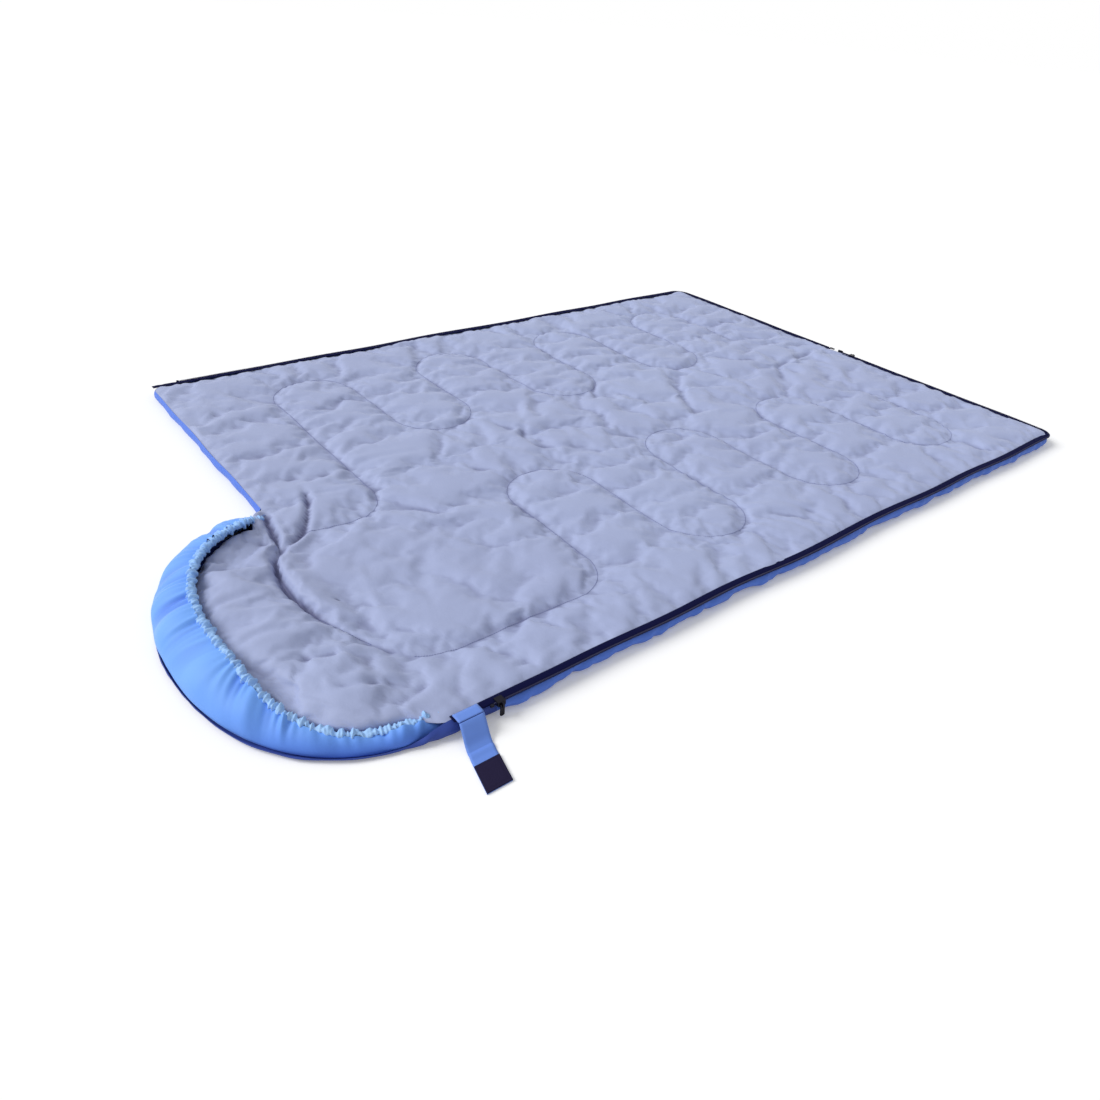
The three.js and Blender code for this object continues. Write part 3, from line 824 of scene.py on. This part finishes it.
def lining_billow(laid, size, share):
    wavy = billow(laid, size, share)
    hood = on_hood(wavy[:, 1]) * (wavy[:, 0] < 0.001)
    wavy[:, 2] = cap(wavy[:, 2], 0.0349 + 0.0250 * hood, 0.0022)
    wavy[:, 2] = -cap(-wavy[:, 2], -0.0160, 0.0015)
    level = wavy[:, 2].reshape(size[1] + size[2] + 1, size[0] + 1)
    # Painted shade for the creases: 0 to 1 by how far the cloth lies below the mean of its neighbours.
    painted_shade_maps.append(np.clip((averaged(level, 3, 2) - level) / 0.0055 - 0.32, 0, 1).reshape(-1))
    return wavy


painted_shade_maps = []


lining_laid = lay_panel(0.0055, lining_spare, lining_roll, lining_profile, lining_surface, pillow_inset,
                        lining_billow)
(lining_body, body_area), (lining_hood, hood_area) = split_panel(("lining_body", "lining_hood"), lining_laid,
                                                                 painted_shade=painted_shade_maps[0])
for part, area, size in ((lining_body, body_area, (2 * wall + 0.02, 2 * neck + 0.02)),
                         (lining_hood, hood_area, (wall + 0.01, hood_length + 0.09))):
    dress(part, lining_finish)
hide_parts("back_lining", "front_lining")
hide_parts("hood_lining")


# ---- The shell: the under face and the sides ----
# Royal blue cloth under the whole bag. Round the body it bulges out below the zip and turns up to
# the zip seam, and under the hood it meets the foot of the band, coloured navy there as painted shade.

shell_spare = 0.031


def shell_profile(share, hood, x, y):
    bulge = 1 + 0.25 * ripple(x + y, 0.16) + 0.16 * ripple(x - y, 0.05)
    bulge = bulge * (1 - 0.62 * smoothstep(y, 0.90, 0.94) * (x > 0))
    out = -(0.017 - 0.013 * hood) * bulge
    t = share
    inward = 3 * (1 - t) ** 2 * t * out * 0.8 + 3 * (1 - t) * t**2 * out * 1.35 + t**3 * 0.012
    rise = 3 * (1 - t) ** 2 * t * 0.28 + 3 * (1 - t) * t**2 * 1.0 + t**3
    return inward, rise


def shell_surface(x, y, hood):
    gap, run = quilt_distance(x, y)
    swell = 1 - np.exp(-((gap / 0.020) ** 1.3))
    z = 0.0056 - 0.0036 * swell + 0.0007 * ripple(run, 0.022) * np.exp(-gap / 0.016)
    z = z - 0.8 * crease_height(x, y, creases)
    seam = seam_level - tape_room * tape_between(x, y) - 0.0185 * hood
    return 0.0003 + np.logaddexp(0, (z - 0.0003) / 0.0006) * 0.0006, seam


shell_laid = lay_panel(0.0072, shell_spare, lambda hood, x: 0.043 + 0 * x, shell_profile, shell_surface,
                       lambda turn, side: 0 * turn)
(shell_body, body_area), (shell_hood, hood_area) = split_panel(("shell_body", "shell_hood"), shell_laid, True)
dress(shell_body, shell_finish)
# Painted shade: the shell under the hood is dressed in a darker navy copy of the shell colour.
dress(shell_hood, shell_shade_finish)
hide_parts("back_shell", "front_shell")
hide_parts("hood_shell")


# ---- The filling ----
# Loose white hollow-fibre batting, held by the quilting between shell and lining.

filling_finish = plain_finish("filling_white", (0.80, 0.80, 0.78), 0.95, grain=0.002, scale=60.0)


def batting(name, low_x, high_x, low_y, high_y, spacing, outline=None):
    mesh = bmesh.new()
    bmesh.ops.create_grid(mesh, x_segments=round((high_x - low_x) / spacing),
                          y_segments=round((high_y - low_y) / spacing), size=0.5)
    co = coordinates(mesh)
    x, y = low_x + (co[:, 0] + 0.5) * (high_x - low_x), low_y + (co[:, 1] + 0.5) * (high_y - low_y)
    if outline:
        x, y = outline(x, y)
    move_all(mesh, np.stack([x, y, np.full_like(x, 0.0065)], 1))
    lower = list(mesh.faces)
    raised = bmesh.ops.extrude_face_region(mesh, geom=lower)["geom"]
    bmesh.ops.translate(mesh, vec=(0, 0, 0.0075), verts=[g for g in raised if isinstance(g, bmesh.types.BMVert)])
    bmesh.ops.recalc_face_normals(mesh, faces=mesh.faces)
    return new_object(name, mesh)


pad_inset = 0.10           # from the hood's outline in to its batting


def half_disc(x, y):
    q = (y - neck) / (hood_length - pad_inset)
    p = (x - hood_centre) / (wall / 2 - pad_inset)
    return (hood_centre + (wall / 2 - pad_inset) * p * np.sqrt(np.maximum(1 - q * q / 2, 0)),
            neck + (hood_length - pad_inset) * q * np.sqrt(np.maximum(1 - p * p / 2, 0)))


batting_body = batting("batting_body", -wall + 0.030, wall - 0.030, -neck + 0.030, neck - 0.035, 0.012)
batting_hood = batting("batting_hood", hood_centre - wall / 2 + pad_inset, hood_centre + wall / 2 - pad_inset, neck, neck
                       + hood_length - pad_inset, 0.012, half_disc)
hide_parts("back_fill", "front_fill")
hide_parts("hood_fill")
for part in (batting_body, batting_hood):
    dress(part, filling_finish)

for part in (lining_body, shell_body, batting_body):
    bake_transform(part)
for part in (lining_hood, shell_hood):
    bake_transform(part)
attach(batting_hood, "hood")


# ---- The hood's band ----
# A standing crescent of sky-blue cloth round the pillow, upright at the floor and leaning in, with
# a facing of the lining cloth inside, coloured darker grey as painted shade. The elastic in its free hem gathers
# both into small frills.

def band_point(run, sweep, depth, turned_in=0.0):
    """A point of the band: run is the way round, sweep the angle up its section, depth in from its face and
    turned_in how far its foot is turned in below the pillow."""
    turn = turn_at(run)
    share = band_share(turn)
    lean = band_lean * share**1.5
    inset = lean - (lean - depth) * np.cos(sweep)
    height = (band_height * share - depth) * np.sin(sweep)
    x, y = hood_outline(turn, inset + turned_in)
    return x, y, height * (1 - smoothstep(turned_in, 0.0, 0.015))


def gathers(run, edge):
    """Depth of the gathers: none at the base seam (edge 0), deepest at the elastic (edge 1)."""
    drawn = run + 0.05 * (1 - edge) * ripple(run + 11, 0.30)
    wide = ripple(drawn, 0.085) * 0.0052 * edge**0.8 * (1 - 0.35 * edge)
    narrow = ripple(drawn + 7, 0.023) * 0.0022 * edge**2.4 * (1 + 0.8 * ripple(run + 1, 0.14))
    return wide + narrow


foot_share = 0.16          # share of the rows that lie turned in under the pillow
foot_turn = 0.050


def band_layer(name, columns, rows, low, high, depth, inside_out):
    mesh = bmesh.new()
    bmesh.ops.create_grid(mesh, x_segments=columns, y_segments=rows, size=0.5)
    co = coordinates(mesh)
    run = (co[:, 0] + 0.5) * band_run
    edge = np.clip((co[:, 1] + 0.5 - foot_share) / (1 - foot_share), 0, 1)
    sweep = low + (high - low) * edge
    turned_in = foot_turn * (1 - np.clip((co[:, 1] + 0.5) / foot_share, 0, 1))
    x, y, z = band_point(run, sweep, depth, turned_in)
    bulge = gathers(run, edge) + 0.003 * np.sin(math.pi * edge) * ripple(run + 3, 0.12)
    end_fade = smoothstep(np.minimum(run, band_run - run), 0, 0.05)
    ox, oy, oz = band_point(run, sweep, depth - 0.01, turned_in)
    away = np.stack([ox - x, oy - y, oz - z], 1) / 0.01
    place = np.stack([x, y, z], 1) + away * (bulge * (0.3 + 0.7 * end_fade))[:, None]
    place[:, 2] = np.maximum(place[:, 2], 0.0006 + 0.2 * depth)
    move_all(mesh, place)
    if inside_out:
        bmesh.ops.reverse_faces(mesh, faces=mesh.faces)
    obj = new_object(name, mesh)
    # Painted shade: the band darkens towards its foot on the zip side, where it faces away from the light, and in
    # the valleys of its gathers.
    shaded = (1 - smoothstep(turn_at(run), 0.45, 1.60)) * (1 - edge) ** 0.7
    gather_shade = np.clip(-bulge / 0.006, 0, 1) * 0.55
    attribute = obj.data.attributes.new("painted_shade", "FLOAT", "POINT")
    attribute.data.foreach_set("value", np.maximum(0.9 * shaded, gather_shade).astype(np.float32))
    return obj


band_face = band_layer("band_face", 900, 26, math.radians(7), band_sweep + 0.05, 0.0, True)
dress(band_face, band_finish)
band_facing = band_layer("band_facing", 700, 18, math.radians(3), band_sweep + 0.02, band_depth_facing, False)
dress(band_facing, facing_shade_finish)
for part, node, slot in ((band_face, "hood_band", "band_cloth"), (band_facing, "hood_facing", "lining_cloth")):
    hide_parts(node)
    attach(part, "hood")


# ---- The hood's hem ----
# The band and its facing are sewn together round the elastic. Drawn up, the hem makes a lighter,
# tufty little tube round the hood's opening.

hem_finish = cloth_finish("hem_light_blue", (0.42, 0.64, 0.95), (0.24, 0.48, 0.92), depth=0.0016, scale=70.0)
elastic_finish = plain_finish("elastic_white", (0.78, 0.78, 0.80), 0.7, grain=0.0003)


def hem_tube(name, columns, rings, radius, tuft):
    mesh = bmesh.new()
    bmesh.ops.create_grid(mesh, x_segments=columns, y_segments=rings, size=0.5)
    co = coordinates(mesh)
    run = 0.006 + (co[:, 0] + 0.5) * (band_run - 0.012)
    angle = (co[:, 1] + 0.5) * 2 * math.pi
    turn = turn_at(run)
    inset, height = hem_centre(turn)
    size = radius * (1 + tuft * (0.34 * ripple(run, 0.010) + 0.26 * ripple(run + 2, 0.021) + 0.22
                                 * np.sin(3 * angle + 2.5 * ripple(run + 9, 0.015))))
    size = np.maximum(size, min(radius, 0.0044))
    sway = 0.0016 * ripple(run + 5, 0.026)
    x, y = hood_outline(turn, inset - size * np.cos(angle) + sway)
    move_all(mesh, np.stack([x, y, height + size * np.sin(angle) + sway], 1))
    bmesh.ops.remove_doubles(mesh, verts=mesh.verts, dist=1e-6)
    bmesh.ops.holes_fill(mesh, edges=[e for e in mesh.edges if e.is_boundary])
    bmesh.ops.recalc_face_normals(mesh, faces=mesh.faces)
    return new_object(name, mesh)


hood_hem = hem_tube("gathered_hem", 1100, 14, 0.0064, 1.0)
dress(hood_hem, hem_finish)
hood_elastic = hem_tube("hem_elastic", 500, 8, 0.0018, 0.0)
dress(hood_elastic, elastic_finish)
for part, node in ((hood_hem, "hood_hem"), (hood_elastic, "hood_elastic")):
    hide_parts(node)
    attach(part, "hood")


# ---- The stitching ----
# Lilac thread, four stitches to the centimetre or so, sunk in the valleys between the swells.
# It is drawn a little longer than life so that it can be seen.

thread_finish = plain_finish("thread_lilac", (0.20, 0.22, 0.42), 0.6, grain=0.0002)
stitch_step = 0.0045
stitch_mould = bmesh.new()
bmesh.ops.create_cube(stitch_mould, size=1.0)
bmesh.ops.scale(stitch_mould, vec=(0.0034, 0.0008, 0.0007), verts=stitch_mould.verts)


def stamp(mesh, mould, places):
    """Adds the mould to the mesh once at each place."""
    data = bpy.data.meshes.new("mould")
    for place in places:
        copy = mould.copy()
        copy.transform(place)
        copy.to_mesh(data)
        copy.free()
        mesh.from_mesh(data)
    bpy.data.meshes.remove(data)


def stitches(name, route, cloths, start=0.0, rise=0.0002):
    spots = np.array(route)
    run = np.concatenate([[0], np.cumsum(np.linalg.norm(np.diff(spots, axis=0), axis=1))])
    middles = np.arange(start + stitch_step, run[-1] - stitch_step, stitch_step)
    places = []
    for middle in middles:
        ends = [np.array([np.interp(middle + side * 0.0017, run, spots[:, k]) for k in (0, 1)])
                for side in (-1, 1)]
        lifted = []
        for spot in ends:
            wander_x, wander_y = drift(spot[:1], spot[1:])
            spot = Vector((spot[0] + float(wander_x[0]), spot[1] + float(wander_y[0]), 0.2))
            heights = [hit[0].z for hit in (c.ray_cast(spot, Vector((0, 0, -1))) for c in cloths) if hit[0]]
            lifted.append(Vector((spot.x, spot.y, max(heights) + rise)) if heights else None)
        if None in lifted:
            continue
        along = (lifted[1] - lifted[0]).normalized()
        side = Vector((0, 0, 1)).cross(along).normalized()
        turn = Matrix((along, side, along.cross(side))).transposed().to_4x4()
        places.append(Matrix.Translation((lifted[0] + lifted[1]) / 2) @ turn)
    mesh = bmesh.new()
    stamp(mesh, stitch_mould, places)
    obj = new_object(name, mesh)
    dress(obj, thread_finish)
    return obj


cloth_trees = [BVHTree.FromObject(part, bpy.context.evaluated_depsgraph_get())
               for part in (lining_body, lining_hood)]
back_stitches = stitches("back_stitches", back_route[12:], cloth_trees)
front_stitches = stitches("front_stitches", front_route, cloth_trees)
hood_stitches = stitches("hood_stitches", hood_route[4:-5], cloth_trees)
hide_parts("back_quilt_thread")
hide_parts("front_quilt_thread")
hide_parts("hood_quilt_thread")
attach(back_stitches, "back_half")
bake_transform(front_stitches)
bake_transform(hood_stitches)


# ---- The zip ----
# One two-way coil zip joins the halves round the side and the foot. Each half carries its own tape,
# sewn into the seam between shell and lining, with a row of nylon coil on its edge.

tape_finish = plain_finish("tape_navy", (0.004, 0.005, 0.038), 0.8, grain=0.0002, scale=1500.0, shine=0.05)
coil_finish = plain_finish("coil_navy", (0.005, 0.006, 0.044), 0.45, shine=0.2)
metal_finish = plain_finish("slider_black_enamel", (0.012, 0.012, 0.020), 0.3, metallic=0.6)
zip_level = 0.0275


def zip_path(side, outset, start_x, end_y):
    """The line of the seam from near the fold round the foot corner up the side, outset outside the wall."""
    radius = corner + outset
    points = [(side * start_x, -neck - outset)]
    go_to(points, side * (wall - corner), -neck - outset, 0.006)
    go_round(points, (side * (wall - corner), -neck + corner), radius, -math.pi / 2,
             -math.pi / 2 + side * math.pi / 2, 0.004)
    go_to(points, side * (wall + outset), end_y, 0.006)
    return np.array(points)


def along_zip(points):
    """Each point of a zip path after the edge's wander, its direction and its distance along."""
    wander_x, wander_y = drift(points[:, 0], points[:, 1])
    moved = points + np.stack([wander_x, wander_y], 1)
    step = np.gradient(moved, axis=0)
    step /= np.linalg.norm(step, axis=1)[:, None]
    run = np.concatenate([[0], np.cumsum(np.linalg.norm(np.diff(moved, axis=0), axis=1))])
    return moved, step, run


def zip_tape(name, side):
    moved, step, run = along_zip(zip_path(side, 0.0, 0.018, 0.948))
    out = side * np.stack([step[:, 1], -step[:, 0]], 1)
    mesh = bmesh.new()
    bmesh.ops.create_grid(mesh, x_segments=len(moved) - 1, y_segments=4, size=0.5)
    co = coordinates(mesh)
    place = np.rint((co[:, 0] + 0.5) * (len(moved) - 1)).astype(int)
    reach = -0.006 + 0.0142 * (co[:, 1] + 0.5)
    spot = moved[place] + out[place] * reach[:, None]
    z = zip_level - 0.0004 + 0.0004 * ripple(run[place], 0.02) * (reach > 0)
    move_all(mesh, np.stack([spot[:, 0], spot[:, 1], z], 1))
    thick = bmesh.ops.extrude_face_region(mesh, geom=list(mesh.faces))["geom"]
    bmesh.ops.translate(mesh, vec=(0, 0, 0.0008), verts=[g for g in thick if isinstance(g, bmesh.types.BMVert)])
    bmesh.ops.recalc_face_normals(mesh, faces=mesh.faces)
    obj = new_object(name, mesh)
    dress(obj, tape_finish)
    return obj


tooth_mould = bmesh.new()
bmesh.ops.create_cube(tooth_mould, size=1.0)
bmesh.ops.scale(tooth_mould, vec=(0.0016, 0.0040, 0.0034), verts=tooth_mould.verts)
bmesh.ops.bevel(tooth_mould, geom=tooth_mould.edges, offset=0.0006, affect="EDGES", segments=1, profile=0.5,
                material=-1)
tooth_step = 0.0026


def zip_coil(name, side):
    moved, step, run = along_zip(zip_path(side, 0.0098, 0.0255, 0.880))
    places = []
    for middle in np.arange(tooth_step, run[-1] - 0.001, tooth_step):
        spot = [np.interp(middle, run, moved[:, k]) for k in (0, 1)]
        way = Vector((np.interp(middle, run, step[:, 0]), np.interp(middle, run, step[:, 1]), 0)).normalized()
        out = Vector((way.y, -way.x, 0)) * side
        turn = Matrix((way, out, way.cross(out))).transposed().to_4x4()
        places.append(Matrix.Translation((*spot, zip_level)) @ turn)
    mesh = bmesh.new()
    stamp(mesh, tooth_mould, places)
    bmesh.ops.recalc_face_normals(mesh, faces=mesh.faces)
    obj = new_object(name, mesh)
    obj.data.shade_flat()
    return dress(obj, coil_finish)


for half, side in (("back", -1), ("front", 1)):
    tape = zip_tape(half + "_tape", side)
    coil = zip_coil(half + "_coil", side)
    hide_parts(half + "_zip_tape")
    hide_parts(half + "_zip_coil")
    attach(tape, half + "_half")
    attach(coil, half + "_half")

for name in ("back_top_stop", "front_top_stop", "retainer_box", "insertion_pin",
             "head_slider_body", "head_pull_tab", "foot_slider_body", "foot_pull_tab"):
    dress(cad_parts[name], metal_finish)


# ---- The closing tab ----
# Blue webbing sewn to the head end of the zip seam. It folds over the zip's head slider and its
# hook patch grips the loop patch under the other half.

strap_finish = cloth_finish("strap_blue", (0.16, 0.30, 0.80), (0.13, 0.26, 0.74), depth=0.0006, scale=40.0)
hook_finish = plain_finish("hook_black", (0.021, 0.017, 0.048), 0.95, grain=0.0006, scale=700.0, shine=0.05)
loop_finish = plain_finish("loop_black", (0.020, 0.018, 0.045), 0.95, grain=0.0010, scale=500.0)
tab_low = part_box("tab_strap_end")[0]
tab_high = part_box("tab_strap_root")[1]


def ribbon(name, line, thickness=0.0015, rows=10):
    """Webbing 44 mm wide along a line of (x, z) spots, in rows across its width."""
    spots = np.array(line)
    mesh = bmesh.new()
    bmesh.ops.create_grid(mesh, x_segments=len(spots) - 1, y_segments=rows, size=0.5)
    co = coordinates(mesh)
    place = np.rint((co[:, 0] + 0.5) * (len(spots) - 1)).astype(int)
    y = tab_low.y + (co[:, 1] + 0.5) * (tab_high.y - tab_low.y)
    move_all(mesh, np.stack([spots[place, 0], y, spots[place, 1]], 1))
    step = np.gradient(spots, axis=0)
    step /= np.linalg.norm(step, axis=1)[:, None]
    thick = bmesh.ops.extrude_face_region(mesh, geom=list(mesh.faces))["geom"]
    top = [g for g in thick if isinstance(g, bmesh.types.BMVert)]
    for vert in top:
        nearest = int(np.argmin(np.hypot(spots[:, 0] - vert.co.x, spots[:, 1] - vert.co.z)))
        upward = 1 if step[nearest, 0] > 0 else -1
        vert.co += Vector((-step[nearest, 1], 0, step[nearest, 0])) * thickness * upward
    bmesh.ops.recalc_face_normals(mesh, faces=mesh.faces)
    obj = new_object(name, mesh)
    return obj


strap_skew = 0.42          # how far the strap's loose end leans to the hood, per metre out
strap_root = -0.7180


def skewed(obj):
    """Leans the mesh towards the hood from the strap's root outwards."""
    for vert in obj.data.vertices:
        vert.co.y += strap_skew * max(0.0, strap_root - vert.co.x) * 0.55


strap_line = [(strap_root, 0.0283)]
go_through(strap_line, (-0.7230, 0.0250), (-0.7340, 0.0150), (-0.7440, 0.0060), (-0.7540, 0.0012), step=0.0015)
go_through(strap_line, (-0.7600, 0.0022), (-0.7680, 0.0006), (-0.7760, 0.0003), step=0.0015)
go_to(strap_line, -0.8289, 0.0003, 0.003)
strap = ribbon("closing_strap", strap_line[::-1])
skewed(strap)
dress(strap, strap_finish)
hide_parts("tab_strap_root", "tab_strap_end")
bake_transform(strap)
anchor_line = [(-0.7174, 0.0292), (-0.7150, 0.0294), (-0.7100, 0.0296), (-0.7040, 0.0296), (-0.6985, 0.0290)]
anchor = ribbon("strap_anchor", anchor_line)
dress(anchor, strap_finish)
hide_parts("tab_anchor")
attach(anchor, "back_half")

hook_low, hook_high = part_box("hook_patch")
hook_mesh = bmesh.new()
bmesh.ops.create_grid(hook_mesh, x_segments=26, y_segments=22, size=0.5)
hook_co = coordinates(hook_mesh)
hook_x = hook_low.x + (hook_co[:, 0] + 0.5) * (hook_high.x - hook_low.x)
hook_y = hook_low.y + (hook_co[:, 1] + 0.5) * (hook_high.y - hook_low.y)
sewn = np.minimum(0.5 - np.abs(hook_co[:, 0]), 0.5 - np.abs(hook_co[:, 1]))
move_all(hook_mesh, np.stack([hook_x, hook_y, 0.0036 - 0.0008 * np.exp(-(((sewn - 0.08) / 0.03) ** 2))], 1))
hook_rim = bmesh.ops.extrude_face_region(hook_mesh, geom=list(hook_mesh.faces))["geom"]
for vert in (g for g in hook_rim if isinstance(g, bmesh.types.BMVert)):
    vert.co.z = 0.0019
bmesh.ops.recalc_face_normals(hook_mesh, faces=hook_mesh.faces)
hook = new_object("hook_tape_patch", hook_mesh)
skewed(hook)
dress(hook, hook_finish)
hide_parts("hook_patch")
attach(hook, "tab_end")
dress(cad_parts["loop_patch"], loop_finish)
